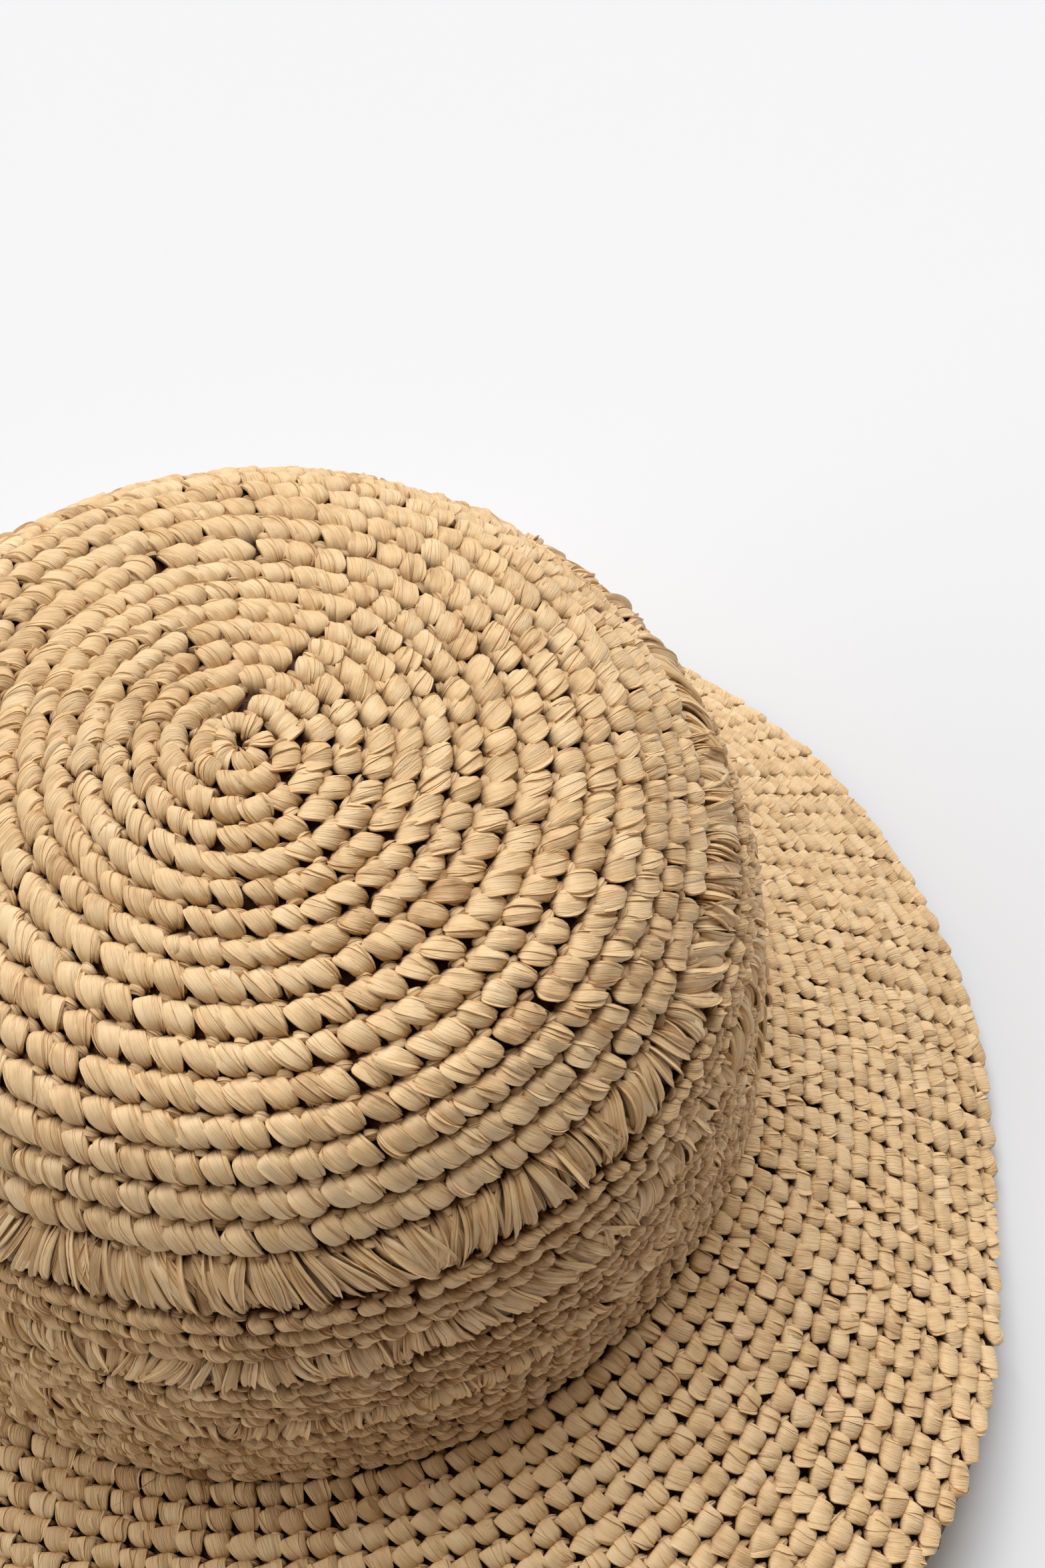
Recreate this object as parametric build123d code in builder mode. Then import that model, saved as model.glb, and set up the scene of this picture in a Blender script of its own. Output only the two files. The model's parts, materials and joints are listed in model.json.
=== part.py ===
from build123d import *
import math
import os

# Crocheted raffia sun hat.  Millimetres, +Z up, front of the hat towards -Y.
# The origin is on the surface that the brim's edge rests on, under the middle of the hat's outline.

# ---- driving dimensions --------------------------------------------------------------------------
head_circumference = 570.0      # size of the head opening, inside the sweatband
band_thickness = 0.8            # grosgrain sweatband
band_height = 25.0
band_hem = 1.0                  # the band starts this far above the brim break
thread_diameter = 0.6
label_width = 22.0              # size label, standing on the band's top edge at the back
label_height = 13.0
label_thickness = 0.4
label_lean = 1.6                # the wall leans in by this much over the label's height

crochet_thickness = 4.0         # one layer of raffia stitches
crown_depth = 105.0             # brim break to the middle of the crown's tip
start_hole_radius = 1.6         # eye in the middle of the tip
dome_drop = 0.00316             # drop of the tip per square millimetre of radius

brim_length = 73.3              # along the slope, from the brim break to the edge
brim_round = 4.8                # one round of brim stitches, along the slope
edge_round = 4.7                # the last round, which finishes the edge
side_drop = 50.4                # how far the edge hangs below the break at the sides and the back
front_lift = 37.9               # how much higher the edge stands at the very front
lift_half_angle = 84.0          # the edge rises over this many degrees each side of the front
brim_sections = 16              # sections from the front to the back, on one side

opening_radius = head_circumference / (2 * math.pi)
lining_radius = opening_radius + band_thickness
break_radius = lining_radius + crochet_thickness


# ---- shape of the brim ---------------------------------------------------------------------------
def droop(azimuth):
    """Angle of the brim below the horizontal, in radians. The azimuth is in degrees from +X."""
    from_front = abs((azimuth + 90 + 180) % 360 - 180)
    swing = math.cos(math.pi * min(from_front / lift_half_angle, 1))
    return math.asin((side_drop - front_lift * (1 + swing) / 2) / brim_length)


# the outline is centred on the origin, so the crown stands a little behind it
axis_y = brim_length * (math.cos(droop(-90)) - math.cos(droop(90))) / 2
break_height = side_drop + crochet_thickness * math.cos(droop(0))
crown_axis = Axis((0, axis_y, 0), (0, 0, 1))


def meridian(azimuth):
    """Plane through the crown's axis at the brim break: local x points outwards and local y up."""
    angle = math.radians(azimuth)
    outwards = (math.cos(angle), math.sin(angle), 0)
    across = (math.sin(angle), -math.cos(angle), 0)
    return Plane(origin=(0, axis_y, break_height), x_dir=outwards, z_dir=across)


# ---- crown: rings of crochet from the middle of the tip down to the brim break -------------------
class Station:
    """Where two rings of the crown meet: a point of the outer surface and its slope."""

    def __init__(self, radius, drop, slope, thickness=crochet_thickness):
        angle = math.radians(slope)
        self.outer = Vector(radius, crown_depth - drop)
        self.inner = self.outer - Vector(math.sin(angle), math.cos(angle)) * thickness
        self.downhill = Vector(math.cos(angle), -math.sin(angle))


def tip_station(radius):
    slope = math.degrees(math.atan(2 * dome_drop * radius))
    return Station(radius, dome_drop * radius**2, slope)


def lined_station(radius, drop):
    """A station beside the sweatband, where the inside of the wall is straight."""
    return Station(radius, drop, 90, thickness=radius - lining_radius)


crown_stations = [
    tip_station(start_hole_radius),
    tip_station(5.2),
    tip_station(41.6),
    tip_station(71.0),
    Station(83.0, 31.4, 55),
    Station(89.6, 42.0, 66),
    Station(92.3, 54.0, 80, thickness=3.6),
    Station(94.3, 72.0, 86, thickness=3.2),
    lined_station(94.7, 78.0),
    lined_station(95.1, 89.0),
    lined_station(break_radius, crown_depth),
]
crown_names = [
    "tip_start_ring",
    "tip_inner_rounds",
    "tip_outer_rounds",
    "shoulder_rounds",
    "shoulder_long_stitch_round",
    "wall_upper_rounds",
    "wall_middle_long_stitch_round",
    "wall_middle_rounds",
    "wall_lower_long_stitch_round",
    "wall_lower_rounds",
]

pieces = []
for name, upper, lower in zip(crown_names, crown_stations, crown_stations[1:]):
    with BuildPart() as crown_ring:
        with BuildSketch(meridian(0)):
            with BuildLine():
                Spline(upper.outer, lower.outer, tangents=(upper.downhill, lower.downhill))
                Line(lower.outer, lower.inner)
                Spline(lower.inner, upper.inner, tangents=(-lower.downhill, -upper.downhill))
                Line(upper.inner, upper.outer)
            make_face()
        revolve(axis=crown_axis)
    crown_ring.part.label = name
    pieces.append(crown_ring.part)


# ---- brim: rings of crochet that hang at the sides and the back and lift at the front ------------
def brim_outline(azimuth, start, end):
    """Corners of one ring's section, between two distances along the slope."""
    angle = droop(azimuth)
    along = Vector(math.cos(angle), -math.sin(angle))
    under = Vector(-math.sin(angle), -math.cos(angle)) * crochet_thickness
    corner = Vector(break_radius, 0)
    outer_end = [corner + along * end, corner + along * end + under]
    if start > 0:
        return [corner + along * start + under, corner + along * start, *outer_end]
    # the first ring carries the wall, so it reaches in under the wall's foot
    reach = crochet_thickness * (1 - math.sin(angle)) / math.cos(angle)
    return [corner + under - along * reach, Vector(lining_radius, 0), corner, *outer_end]


brim_rings = [
    ("brim_inner_rounds", 0, 5 * brim_round),
    ("brim_middle_rounds", 5 * brim_round, 10 * brim_round),
    ("brim_outer_rounds", 10 * brim_round, brim_length - edge_round),
    ("brim_edge_round", brim_length - edge_round, brim_length),
]

for name, start, end in brim_rings:
    with BuildPart() as brim_ring:
        for section in range(brim_sections):
            azimuth = -90 + 180 * section / (brim_sections - 1)
            with BuildSketch(meridian(azimuth)):
                with BuildLine():
                    Polyline(*brim_outline(azimuth, start, end), close=True)
                make_face()
        loft()
        mirror(about=Plane.YZ)
    brim_ring.part.label = name
    pieces.append(brim_ring.part)

# ---- sweatband with its sewing thread, and the size label ----------------------------------------
with BuildPart() as sweatband:
    with BuildSketch(Plane((0, axis_y, break_height + band_hem))):
        Circle(lining_radius)
        Circle(opening_radius, mode=Mode.SUBTRACT)
    extrude(amount=band_height)
sweatband.part.label = "sweatband"
pieces.append(sweatband.part)

with BuildPart() as sweatband_thread:
    with BuildSketch(meridian(0)):
        with Locations((lining_radius - band_thickness / 2, band_hem - thread_diameter / 2)):
            Circle(thread_diameter / 2)
    revolve(axis=crown_axis)
sweatband_thread.part.label = "sweatband_thread"
pieces.append(sweatband_thread.part)

label_foot = Vector(opening_radius, band_hem + band_height)
label_top = label_foot + Vector(-label_lean, label_height)
label_arc = math.degrees(label_width / opening_radius)
through_label = Vector(label_thickness, 0)
with BuildPart() as size_label:
    with BuildSketch(meridian(90 - label_arc / 2)):
        with BuildLine():
            Polyline(label_foot, label_foot + through_label, label_top + through_label, label_top, close=True)
        make_face()
    revolve(axis=crown_axis, revolution_arc=label_arc)
size_label.part.label = "size_label"
pieces.append(size_label.part)

# ---- one file for each piece ---------------------------------------------------------------------
os.makedirs("parts", exist_ok=True)
for piece in pieces:
    export_step(piece, f"parts/{piece.label}.step")
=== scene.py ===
import json
import math
from collections import namedtuple

import bpy
import numpy as np
from mathutils import Euler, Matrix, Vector


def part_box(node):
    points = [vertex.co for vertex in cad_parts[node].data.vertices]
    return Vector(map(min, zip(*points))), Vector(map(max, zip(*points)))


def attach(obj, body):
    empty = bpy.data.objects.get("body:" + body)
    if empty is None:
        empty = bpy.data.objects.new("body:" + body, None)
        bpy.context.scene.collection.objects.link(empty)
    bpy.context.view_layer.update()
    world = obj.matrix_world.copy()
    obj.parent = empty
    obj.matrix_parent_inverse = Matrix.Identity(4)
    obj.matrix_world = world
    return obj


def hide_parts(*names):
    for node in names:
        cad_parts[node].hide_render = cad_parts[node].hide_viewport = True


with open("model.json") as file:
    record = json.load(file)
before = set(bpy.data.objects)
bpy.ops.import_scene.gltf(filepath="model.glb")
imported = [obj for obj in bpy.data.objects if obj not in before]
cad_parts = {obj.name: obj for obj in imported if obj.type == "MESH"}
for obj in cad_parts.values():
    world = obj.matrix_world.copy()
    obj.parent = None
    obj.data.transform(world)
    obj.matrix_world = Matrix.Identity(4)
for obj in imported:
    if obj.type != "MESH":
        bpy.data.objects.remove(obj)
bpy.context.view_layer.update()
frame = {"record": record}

# Crocheted raffia sun hat.  Distances inside the stitch code are millimetres: u runs along a round,
# anticlockwise from above, v runs downhill across it, and n stands out from the hat's outer surface.
MM = 0.001
THICKNESS = 4.0                 # one layer of crochet
WALL_THICKNESS = 2.8            # the wall's tighter crochet, above the sweatband
BAND_CLEARANCE = 0.75           # kept free between the sweatband and the crochet behind it
ABOVE_BAND = 1.5                # the clearance is kept to this far above the band
INNER_CLEARANCE = 0.45          # the outer ribbons end this far short of the crochet's inner face
BRIM_ROUND = 4.8                # one round of brim stitches, along the slope
EDGE_ROUND = 4.7                # the round that finishes the edge
LIFT_HALF_ANGLE = math.radians(84)      # the brim's edge rises over this angle each side of the front
SEAM = math.radians(100)        # where the rounds start, at the back
ARC_POINTS = 40                 # points of the crown's line between two rings
UNDER_BRIM = 12.0               # the wall's line runs on this far below the brim break
MOST_TRIANGLES = 185000         # most triangles in one piece; in one piece, so that the export keeps it whole
rng = np.random.default_rng(57)

CROWN = ["tip_start_ring", "tip_inner_rounds", "tip_outer_rounds", "shoulder_rounds",
         "shoulder_long_stitch_round", "wall_upper_rounds", "wall_middle_long_stitch_round",
         "wall_middle_rounds", "wall_lower_long_stitch_round", "wall_lower_rounds"]
BRIM = ["brim_inner_rounds", "brim_middle_rounds", "brim_outer_rounds", "brim_edge_round"]
TIP_NODE, BREAK_NODE, EDGE_NODE = CROWN[0], BRIM[0], BRIM[-1]


# ---- the hat's surface, read from the frame --------------------------------------------------------
def low(node):
    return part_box(node)[0] / MM


def high(node):
    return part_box(node)[1] / MM


head_opening = frame["record"]["mounts"][0]
axis_y = head_opening["pos_m"][1] / MM
opening_radius = head_opening["dims"]["r_mm"]
break_height = high(BREAK_NODE).z
break_radius = high(CROWN[-1]).x


def crown_profile():
    """Distance from the middle of the tip, points (radius, height) and normals of the crown's line."""
    apex, first_height = high(TIP_NODE).z, high(CROWN[1]).z
    corners = [(0.0, apex + (apex - first_height) * 0.1), (high(TIP_NODE).x, first_height)]
    for ring, below in zip(CROWN[1:], CROWN[2:] + [BREAK_NODE]):
        corners.append((high(ring).x, high(below).z))
    corners = np.array(corners)
    chords = np.linalg.norm(np.diff(corners, axis=0), axis=1)
    slopes = np.gradient(corners, np.concatenate([[0], np.cumsum(chords)]), axis=0)
    slopes[0] = (1, 0)
    slopes[-1] = (0, -1)
    x = np.linspace(0, 1, ARC_POINTS, endpoint=False)[:, None]
    arcs = []
    for i, chord in enumerate(chords):
        # a cubic Hermite arc from one corner to the next
        arcs.append((2 * x**3 - 3 * x**2 + 1) * corners[i] + (x**3 - 2 * x**2 + x) * chord * slopes[i]
                    + (3 * x**2 - 2 * x**3) * corners[i + 1] + (x**3 - x**2) * chord * slopes[i + 1])
    points = np.concatenate([*arcs, corners[-1:], corners[-1:] - (0, UNDER_BRIM)])
    gaps = np.linalg.norm(np.diff(points, axis=0), axis=1)
    distance = np.concatenate([[0], np.cumsum(gaps)])
    tangent = np.gradient(points, distance, axis=0)
    tangent /= np.linalg.norm(tangent, axis=1)[:, None]
    return distance, points, np.stack([-tangent[:, 1], tangent[:, 0]], 1)


profile_distance, profile_points, profile_normals = crown_profile()
break_distance = profile_distance[-2]


def brim_angles():
    """Droop of the brim at the sides and at the front, and its length along the slope."""
    run = high(EDGE_NODE).x - break_radius
    side = 0.7      # a first guess, which each step brings closer
    for _ in range(20):
        side = math.atan((break_height - THICKNESS * math.cos(side)) / run)
    length = run / math.cos(side)
    front_run = axis_y - low(EDGE_NODE).y - break_radius
    return side, math.acos(front_run / length), length


side_droop, front_droop, brim_length = brim_angles()


def droop(azimuth):
    """Angle of the brim below the horizontal."""
    from_front = np.abs((azimuth + math.pi / 2 + math.pi) % (2 * math.pi) - math.pi)
    swing = np.cos(np.pi * np.minimum(from_front / LIFT_HALF_ANGLE, 1))
    side, front = math.sin(side_droop), math.sin(front_droop)
    return np.arcsin(side - (side - front) * (1 + swing) / 2)


def waves(azimuth, distance):
    """Soft unevenness of a handmade hat, in millimetres along n."""
    crown = 0.35 * np.sin(3 * azimuth + 1.1) + 0.25 * np.sin(7 * azimuth + distance / 15)
    crown = crown * np.clip(distance / 60, 0, 1)
    reach = np.clip((distance - break_distance) / brim_length, 0, 1)
    brim = 0.9 * np.sin(5 * azimuth + 0.6) + 0.5 * np.sin(11 * azimuth + 2.0)
    return np.where(distance > break_distance, brim * reach, crown * 0.8)


def place(azimuth, distance, height, brim):
    """Positions on the hat, in millimetres. brim says which surface a point belongs to."""
    radius = np.interp(distance, profile_distance, profile_points[:, 0])
    level = np.interp(distance, profile_distance, profile_points[:, 1])
    out = np.interp(distance, profile_distance, profile_normals[:, 0])
    up = np.interp(distance, profile_distance, profile_normals[:, 1])
    angle = droop(azimuth)
    beyond = distance - break_distance
    radius = np.where(brim, break_radius + beyond * np.cos(angle), radius)
    level = np.where(brim, break_height - beyond * np.sin(angle), level)
    out = np.where(brim, np.sin(angle), out)
    up = np.where(brim, np.cos(angle), up)
    height = height + waves(azimuth, distance)
    return around_axis(azimuth, radius + out * height, level + up * height)


def around_axis(azimuth, radius, level):
    """Positions at a distance from the crown's axis and a height, in millimetres."""
    return np.stack([radius * np.cos(azimuth), axis_y + radius * np.sin(azimuth), level + 0 * radius], -1)


def radius_at(azimuth, distance):
    """How far the crown's or the brim's surface is from the crown's axis."""
    crown = np.interp(distance, profile_distance, profile_points[:, 0])
    brim = break_radius + (distance - break_distance) * np.cos(droop(azimuth))
    return np.where(distance > break_distance, brim, crown)


def layer_thickness(distance, brim):
    """Thickness of the crochet; beside the sweatband only what the band leaves room for."""
    radius = np.interp(distance, profile_distance, profile_points[:, 0])
    level = np.interp(distance, profile_distance, profile_points[:, 1])
    band = high("sweatband")
    beside_band = np.minimum(THICKNESS, radius - band.x - BAND_CLEARANCE)
    wall = np.where(level < band.z + ABOVE_BAND, beside_band, WALL_THICKNESS)
    return np.where(~brim & (level < low("wall_upper_rounds").z), wall, THICKNESS)


# ---- meshes ----------------------------------------------------------------------------------------
# The vertices and faces of one set of shapes.  fibre is a place in the raffia: across it, along it and
# a number of its own.  valley and deep are painted shade in creases and low places, and tone
# is the raffia's own lighter or darker colour, lowered in places as painted shade.  An edge stays crisp
# where its two vertices have the same seam number, -1 aside.
Part = namedtuple("Part", "points fibre valley deep tone seam loops sizes")
ATTRIBUTES = {"fibre": ("FLOAT_VECTOR", "vector"), "valley": ("FLOAT", "value"),
              "deep": ("FLOAT", "value"), "tone": ("FLOAT", "value")}


def mesh_piece(name, parts, material):
    """One mesh object from several parts."""
    offsets = np.cumsum([0] + [len(part.points) for part in parts[:-1]])
    loops = np.concatenate([part.loops + offset for part, offset in zip(parts, offsets)])
    whole = Part(*(np.concatenate(values) for values in zip(*parts)))
    mesh = bpy.data.meshes.new(name)
    mesh.vertices.add(len(whole.points))
    mesh.vertices.foreach_set("co", (whole.points * MM).astype(np.float32).ravel())
    mesh.loops.add(len(loops))
    mesh.loops.foreach_set("vertex_index", loops.astype(np.int32))
    first_loops = np.concatenate([[0], np.cumsum(whole.sizes)[:-1]])
    mesh.polygons.add(len(whole.sizes))
    mesh.polygons.foreach_set("loop_start", first_loops.astype(np.int32))
    mesh.polygons.foreach_set("loop_total", whole.sizes.astype(np.int32))
    mesh.polygons.foreach_set("use_smooth", np.ones(len(whole.sizes), bool))
    mesh.update(calc_edges=True)
    ends = np.empty(len(mesh.edges) * 2, np.int32)
    mesh.edges.foreach_get("vertices", ends)
    one, other = whole.seam[ends[::2]], whole.seam[ends[1::2]]
    crisp = ((one == other) & (one >= 0)).any(axis=1)
    mesh.attributes.new("sharp_edge", "BOOLEAN", "EDGE").data.foreach_set("value", crisp)
    for label, (kind, key) in ATTRIBUTES.items():
        values = getattr(whole, label).astype(np.float32).ravel()
        mesh.attributes.new(label, kind, "POINT").data.foreach_set(key, values)
    mesh.materials.append(material)
    piece = bpy.data.objects.new(name, mesh)
    bpy.context.scene.collection.objects.link(piece)
    return piece


def dress(piece, node):
    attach(piece, "root")
    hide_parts(node)


def tube_faces(rings, sides):
    """Loops and face sizes of one tube with closed ends."""
    grid = np.arange(rings * sides).reshape(rings, sides)
    following = np.roll(grid, -1, 1)
    quads = np.stack([grid[:-1], grid[1:], following[1:], following[:-1]], -1).reshape(-1, 4)
    loops = np.concatenate([quads.ravel(), grid[0], grid[-1][::-1]])
    return loops, np.array([4] * len(quads) + [sides] * 2)


def ribbon_faces(rows, columns):
    """Loops and face sizes of one closed ribbon: a creased top, a plain underside and two ends."""
    grid = np.arange(rows * columns).reshape(rows, columns)
    top = np.stack([grid[:-1, :-1], grid[1:, :-1], grid[1:, 1:], grid[:-1, 1:]], -1).reshape(-1, 4)
    under = np.stack([grid[:-1, 0], grid[:-1, -1], grid[1:, -1], grid[1:, 0]], -1)
    head = [(grid[0, 0], grid[0, i], grid[0, i + 1]) for i in range(1, columns - 1)]
    foot = [(grid[-1, 0], grid[-1, i + 1], grid[-1, i]) for i in range(1, columns - 1)]
    loops = np.concatenate([top.ravel(), under.ravel(), np.ravel(head), np.ravel(foot)])
    sizes = np.array([4] * (len(top) + len(under)) + [3] * (len(head) + len(foot)))
    return loops, sizes


def repeated(loops, vertices, count):
    """The loops of one shape, for count shapes with so many vertices each."""
    return (loops[None] + np.arange(count)[:, None] * vertices).ravel()


# ---- raffia ribbons, laid over a round -------------------------------------------------------------
def vary(count, middle, spread):
    return middle + spread * rng.uniform(-1, 1, count)


class Ribbons:
    """Many ribbons of one resolution. A shape value is one number, or an array with one per ribbon."""

    def __init__(self, rows, pleats, face=1):
        self.rows, self.pleats, self.face = rows, pleats, face
        self.batches = []

    def add(self, azimuth, distance, brim, start, end, widths, crest, depths, tone,
            bow=0.0, dome=0.6, crease=0.3, peak=0.42, tilt=0.0, wild=0.9, blunt=0.5, fray=0.05,
            row=(5, 0), shadow=2.0):
        """start and end are (u, v) of the centre line; widths are half widths at head, middle, foot.
        crest is the height of the middle, and depths say how far head and foot dive below it.
        row is the height of the round and the depth of the groove beside it. shadow is the depth at
        which the painted shade of grooves and low places is strongest."""
        count = len(azimuth)

        def spread(value):
            return np.broadcast_to(value, count)[:, None, None]

        s = (1 - np.cos(np.pi * np.linspace(0, 1, self.rows))) / 2
        s = s[None, :, None]
        warped = s ** (math.log(0.5) / np.log(spread(peak)))
        u0, v0, u1, v1 = (spread(a) for a in (*start, *end))
        length = np.hypot(u1 - u0, v1 - v0)
        du, dv = (u1 - u0) / length, (v1 - v0) / length
        w0, wm, w1 = (spread(w) for w in widths)
        half = w0 * (1 - s)**3 + wm * (4 * warped * (1 - warped))**(blunt + 0.4 * s**2) + w1 * s**3

        across, steep = self.pleat_lines(count, s, wild)
        relief = self.pleat_relief(s, steep)
        head, foot = self.ragged_end(count, fray), self.ragged_end(count, fray)
        arch = np.sqrt(np.clip(1 - np.abs(2 * warped - 1)**2.4, 0, 1))
        d0, d1 = (spread(d) for d in depths)
        height = spread(crest) - np.where(warped < 0.5, d0, d1) * (1 - arch)
        height = height - spread(dome) * np.abs(across)**2.6 - spread(tilt) * across + spread(crease) * relief
        # the two sides tuck under, which keeps the plain underside out of sight
        height[:, :, [0, -1]] -= 0.5 if self.face > 0 else 0.2

        aside = across * half * self.face + spread(bow) * np.sin(np.pi * s)
        s = s + foot * s**4 - head * (1 - s)**4
        u = u0 + (u1 - u0) * s + dv * aside
        v = v0 + (v1 - v0) * s - du * aside
        height = height - row[1] * np.clip(np.abs(v) * 2 / row[0], 0, 1.15)**4
        # painted shade: the lower a point lies below the crest, the darker it is painted; the wrong side gets
        # half
        deep = np.clip(-(height + 0.3) / shadow, 0, 1)
        inner = -layer_thickness(distance, brim)[:, None, None]
        if self.face < 0:
            height = inner - height
            deep = deep * 0.5
        else:
            height = np.maximum(height, inner + INNER_CLEARANCE)
        turn = u / np.maximum(radius_at(azimuth, distance), LEAST_TURN_RADIUS)[:, None, None]
        azimuth, distance, brim = (spread(a) for a in (azimuth, distance, brim))
        points = place(azimuth + turn, distance + v, height, brim)

        full = across.shape
        # painted shade in the creases between pleats and along the tucked sides
        valley = np.zeros(full)
        valley[:, :, 3:-1:3] = rng.uniform(0.2, 0.9, (count, 1, self.pleats - 1))
        valley[:, :, [0, -1]] = 1
        number = np.broadcast_to(rng.uniform(0, 500, count)[:, None, None], full)
        fibre = np.stack([across * half, np.broadcast_to(s * length, full), number], -1)
        tone = np.broadcast_to(spread(tone), full)
        batch = (points, fibre, valley, deep, tone, self.seams(full, steep))
        self.batches.append([values.reshape(count, full[1] * full[2], *values.shape[3:]) for values in batch])

    def pleat_lines(self, count, s, wild):
        """Places across the ribbon, from -1 to 1, and which pleats have their steep side first."""
        share = np.exp(rng.normal(0, wild, (count, self.pleats)))
        edges = np.concatenate([np.zeros((count, 1)), np.cumsum(share, 1)], 1)
        edges = (edges / edges[:, -1:]) * 2 - 1
        wander = rng.uniform(-0.22, 0.22, (count, self.pleats + 1))
        wander[:, [0, -1]] = 0
        edges = np.sort(edges[:, None, :] + wander[:, None, :] * (s - 0.5) * 2, axis=2)
        gap = np.diff(edges, axis=2)
        steep = rng.uniform(0, 1, (count, 1, self.pleats)) < 0.5
        near = edges[:, :, :-1] + np.where(steep, 0.05, 0.20) * gap
        far = edges[:, :, :-1] + np.where(steep, 0.80, 0.95) * gap
        return self.columns(edges[:, :, :-1], near, far, edges[:, :, -1:]), steep

    def pleat_relief(self, s, steep):
        """Heights across the ribbon: each pleat has a level of its own and slopes to one side."""
        shape = steep.shape
        level = rng.uniform(0.0, 1.0, shape) + rng.uniform(-0.5, 0.5, shape) * (s - 0.5) * 2
        slope = rng.uniform(-0.15, 0.45, shape) * np.where(steep, 1, -1)
        lowest = self.lower_neighbour(level) - 0.30
        return self.columns(lowest[:, :, :-1], level + slope, level - slope, lowest[:, :, -1:])

    def ragged_end(self, count, fray):
        """How far each pleat runs past the ribbon's end, as a share of its length."""
        past = rng.uniform(-fray, fray, (count, 1, self.pleats))
        lowest = self.lower_neighbour(past)
        return self.columns(lowest[:, :, :-1], past, past, lowest[:, :, -1:])

    @staticmethod
    def columns(bottom, near, far, last):
        """Puts the three columns of every pleat side by side, and closes the last pleat."""
        joined = np.stack(np.broadcast_arrays(bottom, near, far), -1)
        joined = joined.reshape(*joined.shape[:2], -1)
        return np.concatenate([joined, np.broadcast_to(last, (*joined.shape[:2], 1))], 2)

    @staticmethod
    def lower_neighbour(values):
        """The lower value beside each line between two pleats, and beside the two outer lines."""
        beside = np.concatenate([values[:, :, :1], values, values[:, :, -1:]], 2)
        return np.minimum(beside[:, :, :-1], beside[:, :, 1:])

    @staticmethod
    def seams(full, steep):
        """Seam numbers for the steep side of each pleat, and for both ends of the ribbon."""
        crisp = np.ones((full[0], 1, full[2]), bool)
        crisp[:, :, 1::3] = steep
        crisp[:, :, 2::3] = ~steep
        column = np.broadcast_to(np.arange(full[2]), full)
        end_row = np.full(full, -1)
        end_row[:, 0] = 0
        end_row[:, -1] = 1
        return np.stack([np.where(crisp, column, -1), end_row], -1)

    def part(self):
        loops, sizes = ribbon_faces(self.rows, self.pleats * 3 + 1)
        joined = [np.concatenate(values) for values in zip(*self.batches)]
        count, vertices = joined[0].shape[:2]
        flat = [values.reshape(count * vertices, *values.shape[2:]) for values in joined]
        return Part(*flat, repeated(loops, vertices, count), np.tile(sizes, count))


# ---- rounds ----------------------------------------------------------------------------------------
def zone_limits(node):
    """Distances from the middle of the tip where a zone of rounds starts and ends."""
    if node in CROWN:
        i = CROWN.index(node)
        heights = profile_points[:, 1]
        top = 0.0 if i == 0 else np.interp(-high(node).z, -heights, profile_distance)
        below = (CROWN[1:] + [BREAK_NODE])[i]
        return float(top), float(np.interp(-high(below).z, -heights, profile_distance))
    limits = [0, 5 * BRIM_ROUND, 10 * BRIM_ROUND, brim_length - EDGE_ROUND, brim_length]
    i = BRIM.index(node)
    return break_distance + limits[i], break_distance + limits[i + 1]


# zone, style, share of the zone's width, rounds, stitch width
ROUNDS = [
    ("tip_start_ring", "rope", 1.0, 1, 3.2),
    ("tip_inner_rounds", "rope", 1.0, 7, 5.3),
    ("tip_outer_rounds", "rope", 1.0, 5, 5.3),
    ("shoulder_rounds", "rope", 1.0, 3, 4.9),
    ("shoulder_long_stitch_round", "long", 1.0, 1, 5.0),
    ("wall_upper_rounds", "cord", 1.0, 3, 5.0),
    ("wall_middle_long_stitch_round", "long", 0.6, 1, 5.2),
    ("wall_middle_long_stitch_round", "cord", 0.4, 2, 5.0),
    ("wall_middle_rounds", "cord", 1.0, 2, 5.0),
    ("wall_lower_long_stitch_round", "long", 0.68, 1, 5.2),
    ("wall_lower_long_stitch_round", "cord", 0.32, 1, 5.0),
    ("wall_lower_rounds", "cord", 1.0, 4, 4.8),
    ("brim_inner_rounds", "pad", 1.0, 5, 4.4),
    ("brim_middle_rounds", "pad", 1.0, 5, 4.4),
    ("brim_outer_rounds", "pad", 1.0, 4, 4.4),
    ("brim_edge_round", "pad", 1.0, 1, 4.4),
]
BRIM_COLUMNS = 138              # every round of the brim has the same number of stitches
LAST_SPIRAL, FIRST_RING = 9, 15     # between these rounds the spiral fades into closed rings
START_RADIUS = 2.9              # where the spiral starts, beside the eye
LEAST_TURN_RADIUS = 2.2         # the stitches round the eye bend no tighter than this


def list_rounds():
    """Every round as a dict: zone, style, start, height, stitch width and whether it's on the brim."""
    found = []
    used = {}
    for zone, style, share, number, width in ROUNDS:
        start, end = zone_limits(zone)
        first = start + used.get(zone, 0) * (end - start)
        used[zone] = used.get(zone, 0) + share
        height = (end - start) * share / number
        for k in range(number):
            found.append({"zone": zone, "style": style, "start": first + height * k, "height": height,
                          "width": width, "brim": zone in BRIM})
    return found


rounds = list_rounds()


def round_line(index, share):
    """Distance of a round's middle at a share of its turn; the tip is one spiral, further out it fades."""
    fade = np.clip((FIRST_RING - index) / (FIRST_RING - LAST_SPIRAL), 0, 1)
    middle = rounds[index]["start"] + rounds[index]["height"] / 2
    if index + 1 >= len(rounds):
        return middle + 0 * share
    step = rounds[index + 1]["start"] + rounds[index + 1]["height"] / 2 - middle
    if index == 0:
        return START_RADIUS + share**2 * (rounds[1]["start"] - START_RADIUS)
    return middle + fade * (share - 0.5) * step


def stitch_count(index, middle, fewest):
    """Stitches in a round whose middle is at this distance from the middle of the tip."""
    if rounds[index]["brim"]:
        return BRIM_COLUMNS
    return max(fewest, round(2 * math.pi * float(radius_at(0.0, middle)) / rounds[index]["width"]))


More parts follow.
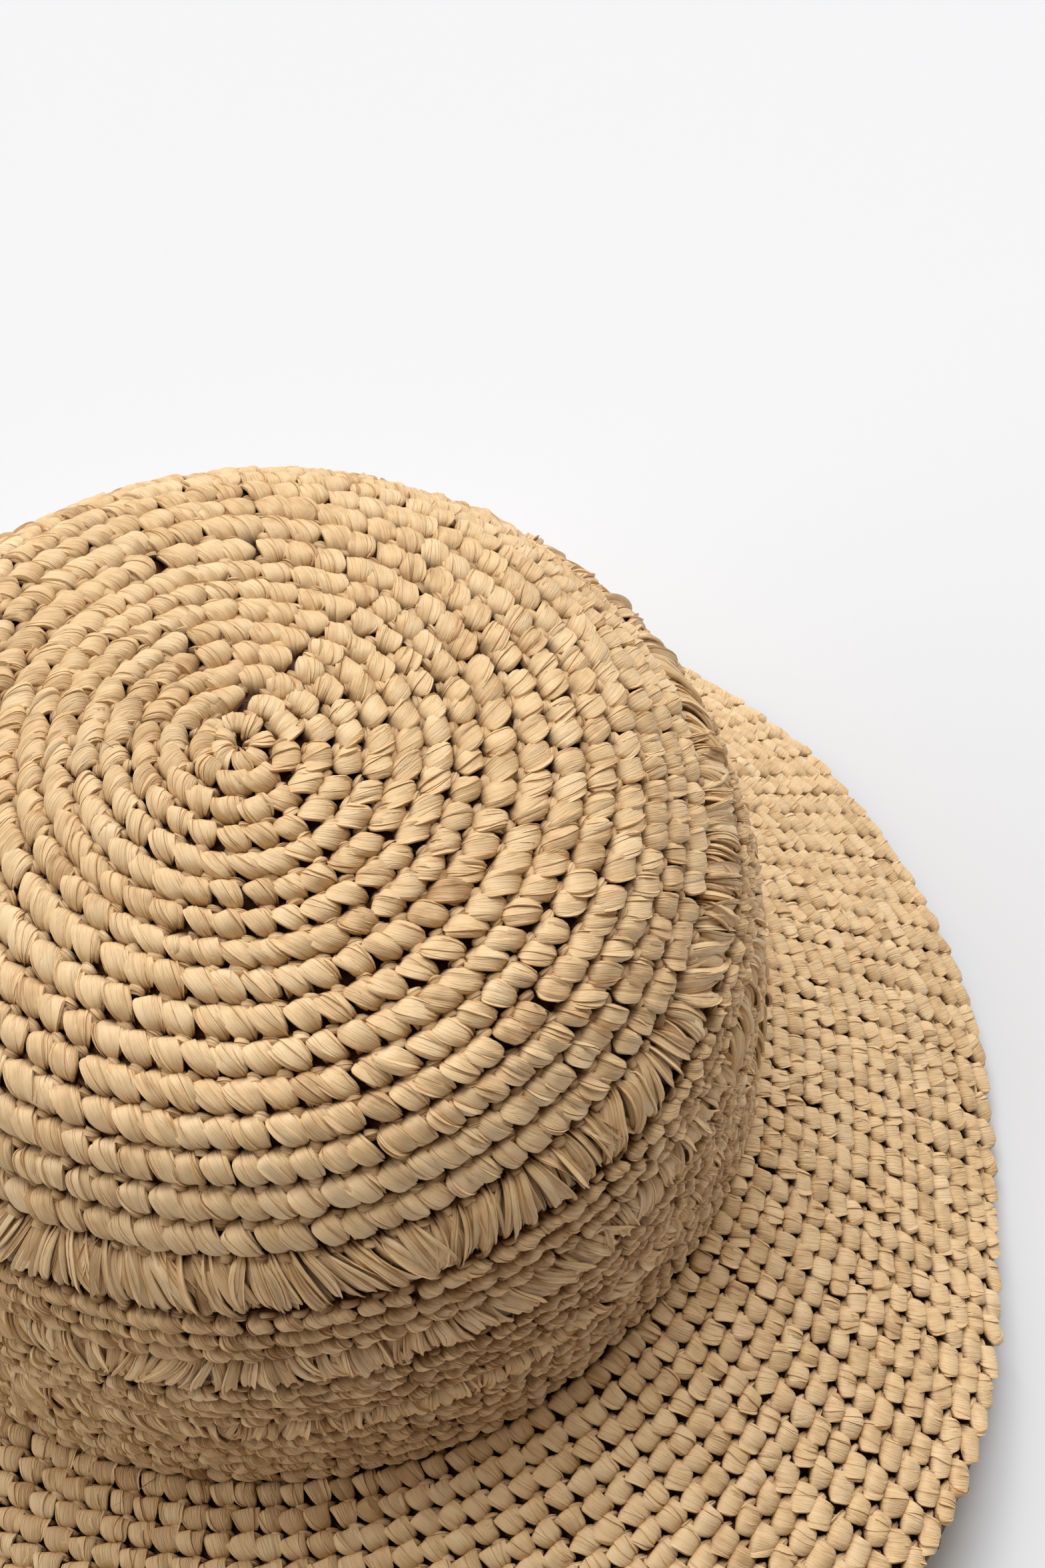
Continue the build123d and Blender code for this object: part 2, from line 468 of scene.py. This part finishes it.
def stitches(index):
    """Azimuth, distance, width and height for the stitches of one round."""
    brim = rounds[index]["brim"]
    middle = float(np.mean(round_line(index, np.array([0.0, 1.0]))))
    count = stitch_count(index, middle, 6)
    # the stitches of the brim stand in columns, elsewhere each round starts where it likes
    share = (np.arange(count) + 0.5 + (0 if brim else rng.uniform(0, 1)) * 0.5) / count
    jitter = 0.06 if brim else 0.12
    share = share + rng.uniform(-jitter, jitter, count) / count
    distance = round_line(index, share) + rng.uniform(-0.15, 0.15, count)
    azimuth = SEAM + 2 * math.pi * share
    width = 2 * math.pi * radius_at(azimuth, distance) / count
    return azimuth, distance, width, rounds[index]["height"], np.full(count, brim)


def tones(count):
    """Lighter and darker stitches; the colour drifts along the strand."""
    along = np.arange(count)
    tone = rng.normal(0, 0.20, count)
    for length in (9, 23, 61):
        tone += 0.16 * np.sin(2 * math.pi * (along / length + rng.uniform(0, 1)))
    odd = rng.uniform(0, 1, count) < 0.03
    return np.clip(np.where(odd, tone - 0.8, tone), -1.4, 1.2)


class Weave:
    """The ribbon sets of one round."""

    def __init__(self):
        self.leaf = Ribbons(11, 4)
        self.pad = Ribbons(9, 3)
        self.toe = Ribbons(8, 3)
        self.knot = Ribbons(6, 3)
        self.blade = Ribbons(11, 3)
        self.under = Ribbons(5, 2, face=-1)

    def parts(self):
        sets = (self.leaf, self.pad, self.toe, self.knot, self.blade, self.under)
        return [ribbons.part() for ribbons in sets if ribbons.batches]


def crochet_round(weave, index, leaf, slant, half, groove, toes=0.7, blunt=0.46, dive=1.3, crease=0.40,
                  rough=0.15, dome=0.14, shadow=2.0, shade=0.0):
    """One round of single crochet: a slanting leaf, its shorter toe, a slat beside it and a knot.
    half holds the leaf's half widths at head, middle and foot, in stitch widths."""
    az, dist, w, h, brim = stitches(index)
    n = len(az)
    # shade lowers the tone of a whole round, as painted shade
    tone = tones(n) - shade
    row = (h, groove)
    drift = 1 + 0.10 * np.sin(az * 3 + index * 1.7) + 0.07 * np.sin(az * 8 + index)
    lean = vary(n, slant, 0.14) * drift
    leaf.add(az, dist, brim,
             (-0.42 * lean * w + vary(n, 0, 0.05) * w, vary(n, -0.48, 0.03) * h),
             (0.46 * lean * w + vary(n, 0, 0.06) * w, vary(n, 0.47, 0.03) * h),
             tuple(vary(n, a, 0.04) * w for a in half),
             vary(n, 0.45, rough), (vary(n, dive, 0.3), vary(n, dive, 0.4)), tone,
             bow=vary(n, -0.25, 0.3), dome=vary(n, dome, 0.20), crease=vary(n, crease, 0.18),
             peak=vary(n, 0.42, 0.06), tilt=vary(n, 0.15, 0.22), wild=1.1, blunt=blunt,
             row=row, shadow=shadow)
    # toe
    some = rng.uniform(0, 1, n) < toes
    m = int(some.sum())
    toe_w, toe_lean = w[some], lean[some]
    weave.toe.add(az[some], dist[some], brim[some],
                  ((-0.38 * toe_lean + vary(m, 0, 0.05)) * toe_w, vary(m, -0.36, 0.05) * h),
                  ((-0.06 * toe_lean + vary(m, 0, 0.08)) * toe_w, vary(m, 0.44, 0.05) * h),
                  (vary(m, 0.10, 0.03) * toe_w, vary(m, 0.18, 0.05) * toe_w, vary(m, 0.05, 0.03) * toe_w),
                  vary(m, 0.0, 0.25), (1.2, vary(m, 1.3, 0.3)), tone[some] + vary(m, -0.08, 0.15),
                  bow=vary(m, 0.15, 0.3), dome=0.3, crease=vary(m, 0.40, 0.12), peak=0.45,
                  row=row, shadow=shadow)
    # slat
    weave.toe.add(az, dist, brim,
                  (vary(n, 0.0, 0.07) * w, vary(n, -0.46, 0.04) * h),
                  ((0.46 * lean + vary(n, 0.07, 0.07)) * w, vary(n, 0.36, 0.09) * h),
                  (vary(n, 0.09, 0.03) * w, vary(n, 0.18, 0.06) * w, vary(n, 0.06, 0.03) * w),
                  vary(n, 0.05, 0.3), (1.2, vary(n, 1.3, 0.3)), tone + vary(n, -0.08, 0.15),
                  bow=vary(n, -0.05, 0.3), dome=0.3, crease=vary(n, 0.42, 0.14), peak=0.48,
                  tilt=vary(n, 0.1, 0.3), row=row, shadow=shadow)
    # knot: its tone is lowered as painted shade, since it lies low in the groove
    weave.knot.add(az, dist, brim,
                   (vary(n, 0.02, 0.06) * w, vary(n, -0.45, 0.05) * h),
                   (vary(n, 0.64, 0.08) * w, vary(n, -0.38, 0.06) * h),
                   (vary(n, 0.10, 0.03) * h, vary(n, 0.16, 0.04) * h, vary(n, 0.10, 0.03) * h),
                   vary(n, -0.75, 0.3), (1.0, 1.2), tone - 0.15,
                   bow=vary(n, 0.1, 0.2), dome=0.5, crease=0.36, wild=0.5)


def rope_round(weave, index):
    """The plump rounds of the tip; close to the eye the stitches stand straighter and wider."""
    slant = {0: 0.25, 1: 0.50, 2: 0.70, 3: 0.85}.get(index, 1.0)
    half = (0.36, 0.46, 0.20) if index < 3 else (0.22, 0.41, 0.12)
    crochet_round(weave, index, weave.leaf, slant, half, groove=1.5)


def cord_round(weave, index):
    """The finer rounds of the wall, darkened all over as painted shade: a lower tone, and grooves that darken
    sooner.
    """
    crochet_round(weave, index, weave.leaf, 1.05, (0.16, 0.30, 0.07), groove=2.2, toes=0.5, dive=1.7,
                  rough=0.28, dome=0.6, shadow=0.8, shade=0.6)


def pad_round(weave, index):
    """The rounds of the brim: short, broad, almost square stitches."""
    crochet_round(weave, index, weave.pad, 0.40, (0.32, 0.43, 0.24), groove=0.7, toes=0.35, blunt=0.38,
                  dive=1.4, crease=0.30)


def under_round(weave, index):
    """The wrong side of the crochet: plain pads between the strands."""
    az, dist, w, h, brim = stitches(index)
    n = len(az)
    dive = 0.5 * (layer_thickness(dist, brim) - 1.4)
    weave.under.add(az, dist, brim,
                    (vary(n, 0.25, 0.08) * w, vary(n, -0.46, 0.04) * h),
                    (vary(n, -0.25, 0.10) * w, vary(n, 0.46, 0.04) * h),
                    (0.20 * w, vary(n, 0.47, 0.04) * w, 0.16 * w),
                    vary(n, -0.15, 0.1), (dive, dive), tones(n) - 0.2, dome=0.3, crease=0.22)


def long_round(weave, index):
    """Bundles of long loose ribbons, gathered at the top and ragged at the foot, over a fuller layer."""
    az, dist, w, h, brim = stitches(index)
    n = len(az)
    sway = 0.20 + 0.34 * np.sin(az * 5 + index) + 0.30 * np.sin(az * 13 + 2.1 * index)
    bundle = sway + vary(n, 0, 0.28)
    for layer, ribbons in ((0, 3), (1, 4)):
        for k in range(ribbons):
            slot = 2 * k / (ribbons - 1) - 1
            lean = bundle + vary(n, 0.14 * slot, 0.12)
            top = (0.34 * slot + vary(n, 0, 0.08)) * w - 0.15 * h * bundle
            reach = vary(n, 0.46 - 0.06 * layer, 0.09)
            wide = (vary(n, 0.34, 0.12), vary(n, 1.00, 0.38), vary(n, 0.34, 0.22))
            if layer == 0:
                wide = [1.35 * a for a in wide]
            # painted shade: the lower layer's tone is lowered more than the upper layer's
            weave.blade.add(az, dist, brim,
                            (top, vary(n, -0.52, 0.04) * h), (top + lean * h, reach * h), wide,
                            vary(n, -0.9 + 1.5 * layer - 0.45 * abs(slot), 0.35),
                            (vary(n, 1.8, 0.4), vary(n, 1.4, 0.6)), tones(n) - 0.35 + 0.3 * layer,
                            bow=vary(n, 0, 0.9), dome=vary(n, 0.0, 0.45), crease=vary(n, 0.40, 0.14),
                            peak=vary(n, 0.50, 0.14), tilt=vary(n, 0, 0.8), blunt=0.38, fray=0.10,
                            row=(h, 1.0))
    # painted shade: the knot's tone is lowered
    weave.knot.add(az, dist, brim,
                   (vary(n, 0.20, 0.08) * w, vary(n, -0.46, 0.04) * h),
                   (vary(n, 0.80, 0.08) * w, vary(n, -0.42, 0.05) * h),
                   (0.5, vary(n, 0.85, 0.2), 0.5), vary(n, -0.5, 0.3), (1.2, 1.4), tones(n) - 0.2,
                   bow=0.1, dome=0.6, crease=0.32, wild=0.5)


STYLES = {"rope": rope_round, "long": long_round, "cord": cord_round, "pad": pad_round}


def strand(index, shift=0.0):
    """The strand that a round is worked over: a lumpy tube in the middle of the crochet."""
    line = rounds[index]
    count = stitch_count(index, line["start"] + line["height"] / 2, 8)
    steps, sides = count * 2, 6
    share = np.linspace(0, 1, steps + 1)[:, None] + np.zeros(sides)
    turn = np.linspace(0, 2 * np.pi, sides, endpoint=False)[None, :] + np.zeros((steps + 1, 1))
    lump = 1 + 0.10 * np.sin(share * count * 2 * np.pi)
    azimuth = SEAM + 2 * np.pi * share
    distance = round_line(index, share) + shift + 0.52 * line["height"] * lump * np.cos(turn)
    brim = np.full(azimuth.shape, line["brim"])
    height = layer_thickness(distance, brim) * (0.08 * lump * np.sin(turn) - 0.66)
    points = place(azimuth, distance, height, brim)
    total = points.shape[0] * sides
    number = np.full(total, index * 7.0)
    fibre = np.stack([1.2 * np.cos(turn).ravel(), (share * count * 5).ravel(), number], -1)
    # painted shade: the outer side, seen through the gaps between stitches, is painted nearly black so that
    # the gaps read as dark holes; the inner side gets less
    inside = (np.sin(turn) < 0.1).ravel()
    return Part(points.reshape(-1, 3), fibre, np.zeros(total), np.where(inside, 0.55, 1.7),
                np.where(inside, -1.0, -3.0), np.full((total, 2), -1), *tube_faces(steps + 1, sides))


# ---- materials -------------------------------------------------------------------------------------
class Look:
    """A node material, with short forms for the nodes it needs."""

    def __init__(self, name):
        self.material = bpy.data.materials.new(name)
        self.material.use_nodes = True
        self.tree = self.material.node_tree
        self.shader = self.tree.nodes["Principled BSDF"]

    def node(self, kind, **inputs):
        """A new node; an input is a value, or another node's output to link."""
        made = self.tree.nodes.new(kind)
        for name, value in inputs.items():
            self.feed(made.inputs[name.replace("_", " ")], value)
        return made

    def feed(self, socket, value):
        if isinstance(value, bpy.types.NodeSocket):
            self.tree.links.new(value, socket)
        else:
            socket.default_value = value

    def attribute(self, name, output="Fac"):
        made = self.node("ShaderNodeAttribute")
        made.attribute_name = name
        return made.outputs[output]

    def maths(self, operation, first, second):
        made = self.node("ShaderNodeMath")
        made.operation = operation
        self.feed(made.inputs[0], first)
        self.feed(made.inputs[1], second)
        return made.outputs[0]

    def centred(self, value, strength):
        """A value that runs from 0 to 1, moved to run evenly about 0."""
        return self.maths("MULTIPLY", self.maths("SUBTRACT", value, 0.5), strength)

    def noise(self, vector, stretch, detail, offset=(0, 0, 0)):
        """Noise over a vector that is stretched first."""
        mapping = self.node("ShaderNodeMapping", Vector=vector, Scale=stretch, Location=offset)
        return self.node("ShaderNodeTexNoise", Vector=mapping.outputs[0], Scale=1.0, Detail=detail).outputs[0]

    def ramp(self, value, *stops):
        made = self.node("ShaderNodeValToRGB", Fac=value)
        elements = made.color_ramp.elements
        for element, (position, colour) in zip(elements, (stops[0], stops[-1])):
            element.position = position
            element.color = (*colour, 1)
        for position, colour in stops[1:-1]:
            elements.new(position).color = (*colour, 1)
        return made.outputs[0]

    def darkened(self, colour, amount, towards):
        """A colour multiplied by another, as far as amount says."""
        made = self.node("ShaderNodeMix")
        made.data_type = "RGBA"
        made.blend_type = "MULTIPLY"
        self.feed(made.inputs[0], amount)
        self.feed(made.inputs[6], colour)
        self.feed(made.inputs[7], (*towards, 1))
        return made.outputs[2]

    def finish(self, colour, relief, strength, depth, **constants):
        """Links the colour and the bump, and sets the shader's other sockets."""
        self.feed(self.shader.inputs["Base Color"], colour)
        bump = self.node("ShaderNodeBump", Strength=strength, Distance=depth, Height=relief)
        self.feed(self.shader.inputs["Normal"], bump.outputs[0])
        for name, value in constants.items():
            self.feed(self.shader.inputs[name.replace("_", " ")], value)
        return self.material


def raffia_material():
    """Streaks along each ribbon and blotches from stitch to stitch, with painted shade in creases and between
    rows.
    """
    look = Look("raffia")
    fibre = look.attribute("fibre", "Vector")
    streaks = look.noise(fibre, (4.5, 0.20, 1.0), 3.0)
    blotches = look.noise(fibre, (0.45, 0.30, 1.0), 1.0)
    folds = look.noise(fibre, (0.9, 0.09, 1.0), 1.0, offset=(0, 0, 37.0))

    value = look.maths("ADD", look.maths("MULTIPLY", look.attribute("tone"), 0.22), 0.5)
    value = look.maths("ADD", value, look.centred(streaks, 0.52))
    value = look.maths("ADD", value, look.centred(blotches, 0.5))
    colour = look.ramp(value, (0.0, (0.38, 0.20, 0.075)), (0.45, (0.79, 0.56, 0.31)),
                       (1.0, (0.95, 0.78, 0.52)))
    # painted shade: the colour is multiplied towards deep brown in creases and low places
    shade_amount = look.maths("MULTIPLY", look.maths("POWER", look.attribute("valley"), 2.0), 0.62)
    shade_amount = look.maths("ADD", shade_amount, look.maths("MULTIPLY", look.attribute("deep"), 0.85))
    shade_amount = look.maths("MINIMUM", shade_amount, 1.0)
    colour = look.darkened(colour, shade_amount, (0.17, 0.075, 0.022))

    # a fold is a thin line where its noise crosses the middle value
    beside = look.maths("ABSOLUTE", look.maths("SUBTRACT", folds, 0.5), 0)
    line = look.node("ShaderNodeMapRange", Value=beside, From_Max=0.035, To_Min=1.0, To_Max=0.0).outputs[0]
    relief = look.maths("SUBTRACT", streaks, look.maths("MULTIPLY", line, 0.35))
    return look.finish(colour, relief, 0.9, 0.00018, Roughness=0.56, Specular_IOR_Level=0.35)


def cloth_material(name, colour, depth, fineness):
    """Ribbed or twisted textile, with painted shade between its ribs."""
    look = Look(name)
    where = look.node("ShaderNodeTexCoord").outputs["Object"]
    noise = look.node("ShaderNodeTexNoise", Vector=where, Scale=fineness, Detail=4.0).outputs[0]
    paler = look.ramp(noise, (0.3, [c * 0.8 for c in colour]), (0.7, colour))
    # painted shade between the ribs
    rib_shade = look.maths("MULTIPLY", look.attribute("valley"), 0.5)
    shaded = look.darkened(paler, rib_shade, (0.55, 0.42, 0.28))
    return look.finish(shaded, noise, 0.5, depth, Roughness=0.85, Sheen_Weight=0.3)


raffia = raffia_material()


# ---- the crochet -----------------------------------------------------------------------------------
def triangles(parts):
    return sum(int((part.sizes - 2).sum()) for part in parts)


def build_rounds():
    """Rounds of one zone, gathered into pieces that stay small enough to export whole."""
    groups = []
    for index, line in enumerate(rounds):
        weave = Weave()
        STYLES[line["style"]](weave, index)
        under_round(weave, index)
        parts = weave.parts() + [strand(index)]
        if line["brim"] and not rounds[index - 1]["brim"]:
            # one more strand closes the corner between the wall and the brim
            parts.append(strand(index, -0.5 * line["height"]))
        size = triangles(parts)
        if groups and groups[-1]["zone"] == line["zone"] and groups[-1]["size"] + size < MOST_TRIANGLES:
            groups[-1]["parts"] += parts
            groups[-1]["size"] += size
        else:
            groups.append({"zone": line["zone"], "parts": parts, "size": size})
    zones = [group["zone"] for group in groups]
    for i, group in enumerate(groups):
        zone = group["zone"]
        suffix = f"_{zones[:i].count(zone) + 1}" if zones.count(zone) > 1 else ""
        piece = mesh_piece("crochet_" + zone + suffix, group["parts"], raffia)
        dress(piece, zone)


# ---- sewing thread and loose fibres ----------------------------------------------------------------
def tubes(paths, radii, sides, reference):
    """Closed round tubes along paths of shape (count, rings, 3); none may run along reference."""
    count, rings = paths.shape[:2]
    along = np.gradient(paths, axis=1)
    along /= np.linalg.norm(along, axis=2, keepdims=True)
    across = np.cross(along, np.broadcast_to(reference, paths.shape))
    across /= np.linalg.norm(across, axis=2, keepdims=True)
    third = np.cross(along, across)
    turn = np.linspace(0, 2 * np.pi, sides, endpoint=False)[None, None, :, None]
    circle = across[:, :, None] * np.cos(turn) + third[:, :, None] * np.sin(turn)
    points = paths[:, :, None] + radii[..., None, None] * circle
    steps = np.cumsum(np.linalg.norm(np.diff(paths, axis=1), axis=2), 1)
    steps = np.concatenate([np.zeros((count, 1)), steps], 1)[..., None]
    number = np.arange(count)[:, None, None] * 3.0
    fibre = np.stack(np.broadcast_arrays(turn[..., 0], steps, number), -1)
    loops, sizes = tube_faces(rings, sides)
    whole = count * rings * sides
    return Part(points.reshape(whole, 3), fibre.reshape(whole, 3), np.zeros(whole), np.zeros(whole),
                np.full(whole, 0.5), np.full((whole, 2), -1),
                repeated(loops, rings * sides, count), np.tile(sizes, count))


def make_thread():
    """Overcast stitches that hold the sweatband's lower edge to the crochet."""
    count, rings = 143, 8
    thread_radius, below_edge, inset = 0.27, 0.7, 0.25
    azimuth = 2 * math.pi * (np.arange(count) + rng.uniform(-0.12, 0.12, count)) / count
    s = np.linspace(0, 1, rings)[None, :]
    reach = vary(count, 1.7, 0.25)[:, None]
    slant = vary(count, 1.3, 0.25)[:, None]
    arch = 0.85 * np.sin(np.pi * np.clip(s * 0.92 + 0.02, 0, 1))**0.6
    radius = high("sweatband").x - inset - arch
    angle = azimuth[:, None] + (s - 0.5) * slant / radius
    level = low("sweatband").z - below_edge + (reach + below_edge) * s
    paths = around_axis(angle, radius + 0 * angle, level)
    part = tubes(paths, np.full(paths.shape[:2], thread_radius), 6, (0.3, 0.2, 1.0))
    thread = cloth_material("sewing_thread", (0.78, 0.68, 0.50), 0.0001, 5000)
    dress(mesh_piece("sewing_stitches", [part], thread), "sweatband_thread")


def make_fibres():
    """Fine loose ends that stand off the raffia, and one long curl at the foot of the wall."""
    count, rings = 90, 9
    ridge = next(line["start"] for line in rounds if line["style"] == "long")
    on_wall = rng.uniform(0, 1, count) < 0.6
    distance = np.where(on_wall, rng.uniform(ridge, break_distance, count),
                        rng.uniform(6, break_distance + 60, count))
    azimuth = rng.uniform(0, 2 * np.pi, count)
    length, lift = rng.uniform(2.5, 7, count), rng.uniform(0.3, 1.8, count)
    heading, curl = rng.uniform(-1.2, 1.2, count), rng.uniform(-2.5, 2.5, count)
    # the first fibre is the long curl
    azimuth[0], distance[0] = math.radians(-112), break_distance + 0.5
    length[0], lift[0], heading[0], curl[0] = 10, 3.0, -0.7, 1.0
    s = np.linspace(0, 1, rings)[None, :]
    u = length[:, None] * np.sin(heading)[:, None] * s + curl[:, None] * s * (1 - s) * 1.5
    v = length[:, None] * np.cos(heading)[:, None] * s
    n = -0.4 + (lift[:, None] + 0.4) * np.sin(np.pi * 0.75 * s)
    turn = u / radius_at(azimuth, distance)[:, None]
    reach = distance[:, None] + v
    on_brim = np.broadcast_to((distance > break_distance)[:, None], reach.shape)
    reach = np.where(on_brim, reach, np.minimum(reach, break_distance + 8))
    paths = place(azimuth[:, None] + turn, reach, n, on_brim)
    radii = 0.10 * (1 - 0.75 * s) * rng.uniform(0.7, 1.3, count)[:, None]
    radii[0] *= 1.6
    part = tubes(paths, radii, 4, (0.31, 0.52, 0.79))
    dress(mesh_piece("loose_fibres", [part], raffia), "shoulder_long_stitch_round")


# ---- sweatband and label ---------------------------------------------------------------------------
def sheet_piece(name, front, back, valley, material, closed):
    """A thin closed sheet between two grids of points; closed joins the last column to the first."""
    rows, columns = front.shape[:2]
    grid = np.arange(rows * columns).reshape(rows, columns)
    if closed:
        grid = np.concatenate([grid, grid[:, :1]], 1)
    other = grid + rows * columns
    quads = [(grid[:-1, :-1], grid[:-1, 1:], grid[1:, 1:], grid[1:, :-1]),
             (other[:-1, :-1], other[1:, :-1], other[1:, 1:], other[:-1, 1:]),
             (grid[0, :-1], other[0, :-1], other[0, 1:], grid[0, 1:]),
             (grid[-1, :-1], grid[-1, 1:], other[-1, 1:], other[-1, :-1])]
    if not closed:
        quads += [(grid[:-1, 0], grid[1:, 0], other[1:, 0], other[:-1, 0]),
                  (grid[:-1, -1], other[:-1, -1], other[1:, -1], grid[1:, -1])]
    loops = np.concatenate([np.stack(corners, -1).ravel() for corners in quads])
    points = np.concatenate([front.reshape(-1, 3), back.reshape(-1, 3)])
    total = len(points)
    part = Part(points, np.zeros((total, 3)), np.tile(valley.ravel(), 2), np.zeros(total), np.zeros(total),
                np.full((total, 2), -1), loops, np.full(len(loops) // 4, 4))
    return mesh_piece(name, [part], material)


def make_sweatband():
    """Grosgrain ribbon, sewn in flat round the opening, with its ends lapped at the back."""
    ribs, per_rib, rows = 470, 4, 9
    rib_height, edge_roundness = 0.06, 0.22
    half_lap, lap_thickness = 5.0, 0.5
    inside, outside = opening_radius, high("sweatband").x
    foot, top = low("sweatband").z, high("sweatband").z
    azimuth = np.linspace(0, 2 * np.pi, ribs * per_rib, endpoint=False)[None, :]
    t = np.linspace(0, 1, rows)[:, None]
    rib = np.cos(2 * np.pi * np.arange(ribs * per_rib) / per_rib)[None, :] + 0 * t
    from_back = np.abs((azimuth - math.pi / 2 + math.pi) % (2 * math.pi) - math.pi) * outside
    lap = lap_thickness * np.clip((half_lap - from_back) / 0.5, 0, 1)
    slack = t**2 * (0.35 + 0.35 * np.sin(5 * azimuth + 0.7) + 0.2 * np.sin(12 * azimuth))
    edge = edge_roundness * np.abs(2 * t - 1)**12
    radius_in = inside + 0.15 - slack - lap + edge - rib_height * rib
    radius_out = outside - 0.12 - slack - edge + rib_height * rib
    level = foot + t * (top - foot) + 0.12 * np.sin(9 * azimuth) * t
    # painted shade in the grooves between the ribs
    band = sheet_piece("sweatband_ribbon", around_axis(azimuth, radius_out, level),
                       around_axis(azimuth, radius_in, level), (1 - rib) * 0.5,
                       cloth_material("grosgrain", (0.80, 0.69, 0.50), 0.00008, 4000), True)
    dress(band, "sweatband")


def make_label():
    """Blank woven tape folded over at its top, its two ends tucked behind the sweatband's edge."""
    gap, thin = 0.13, 0.07      # half the space between the layers, half the tape's thickness
    tucked, lean = 1.5, 1.45    # behind the band's edge, and inwards at the top
    straight_rows, bend_rows, columns = 24, 7, 34
    foot, top = low("size_label").z, high("size_label").z
    width = high("size_label").x - low("size_label").x
    depth = opening_radius + axis_y - low("size_label").y
    tall = math.hypot(top - foot, depth)
    straight = np.linspace(-tucked, tall - gap - thin, straight_rows)
    bend = np.linspace(0, np.pi, bend_rows + 2)[1:-1]
    along = np.concatenate([straight, straight[-1] + gap * np.sin(bend), straight[::-1]])
    offset = np.concatenate([np.full(straight_rows, gap), gap * np.cos(bend), np.full(straight_rows, -gap)])
    slope = np.stack([np.gradient(along), np.gradient(offset)], -1)
    slope /= np.linalg.norm(slope, axis=1)[:, None]
    x = np.linspace(-width / 2, width / 2, columns)[None, :]
    share = np.clip(along / tall, 0, 1)[:, None]
    curl = share * (0.25 + 0.5 * (2 * x / width)**2 + 0.12 * np.sin(x * 0.5 + 1))

    def face(side):
        rise = (along - side * thin * slope[:, 1])[:, None]
        out = (offset + side * thin * slope[:, 0])[:, None]
        radius = opening_radius + out - lean * share - curl
        level = foot + rise * math.cos(math.atan2(lean, tall))
        return around_axis(math.pi / 2 + x / opening_radius, radius, level)

    # painted shade on every other column, between the woven ribs
    weave = 0.5 + 0.5 * np.cos(np.arange(columns) * np.pi)[None, :] + 0 * share
    label = sheet_piece("folded_label", face(1), face(-1), weave,
                        cloth_material("label_tape", (0.86, 0.83, 0.76), 0.00005, 6000), False)
    dress(label, "size_label")


# ---- stage, light and camera -----------------------------------------------------------------------
def make_floor():
    half, level = 4.0, -0.001
    mesh = bpy.data.meshes.new("floor")
    corners = [(-half, -half, level), (half, -half, level), (half, half, level), (-half, half, level)]
    mesh.from_pydata(corners, [], [(0, 1, 2, 3)])
    look = Look("floor")
    look.feed(look.shader.inputs["Base Color"], (0.765, 0.80, 0.855, 1))
    look.feed(look.shader.inputs["Roughness"], 0.9)
    mesh.materials.append(look.material)
    floor = bpy.data.objects.new("floor", mesh)
    bpy.context.scene.collection.objects.link(floor)


def add_sun(name, energy, spread, colour, towards):
    sun = bpy.data.lights.new(name, "SUN")
    sun.energy = energy
    sun.angle = math.radians(spread)
    sun.color = colour
    lamp = bpy.data.objects.new(name, sun)
    lamp.rotation_euler = Vector(towards).to_track_quat("Z", "Y").to_euler()
    bpy.context.scene.collection.objects.link(lamp)


def make_lights():
    """A broad window behind and above the hat, with soft light from both sides and a warm room."""
    add_sun("overhead", 2.25, 45, (1.0, 0.99, 0.97), (0.00, 0.50, 0.87))
    add_sun("window_left", 1.30, 60, (1.0, 0.98, 0.95), (-0.80, 0.06, 0.62))
    add_sun("window_right", 1.05, 50, (1.0, 0.98, 0.95), (0.55, 0.50, 0.67))
    world = bpy.data.worlds.new("studio")
    bpy.context.scene.world = world
    world.use_nodes = True
    background = world.node_tree.nodes["Background"]
    background.inputs["Color"].default_value = (1.0, 0.62, 0.30, 1)
    background.inputs["Strength"].default_value = 0.09
    bpy.context.scene.view_settings.view_transform = "Standard"


def make_camera():
    """The viewpoint stands in front of the hat and above it, a little turned and tilted."""
    apex = Vector((0, axis_y, high(TIP_NODE).z)) * MM
    data = bpy.data.cameras.new("camera")
    data.lens = 73.18
    data.sensor_width = 36
    data.clip_start, data.clip_end = 0.01, 50
    camera = bpy.data.objects.new("camera", data)
    camera.location = apex + Vector((0, -0.30342, 0.46524))
    camera.rotation_euler = Euler((math.radians(31.905), math.radians(0.676), math.radians(-10.411)))
    bpy.context.scene.collection.objects.link(camera)
    bpy.context.scene.camera = camera


build_rounds()
make_thread()
make_fibres()
make_sweatband()
make_label()
make_floor()
make_lights()
make_camera()
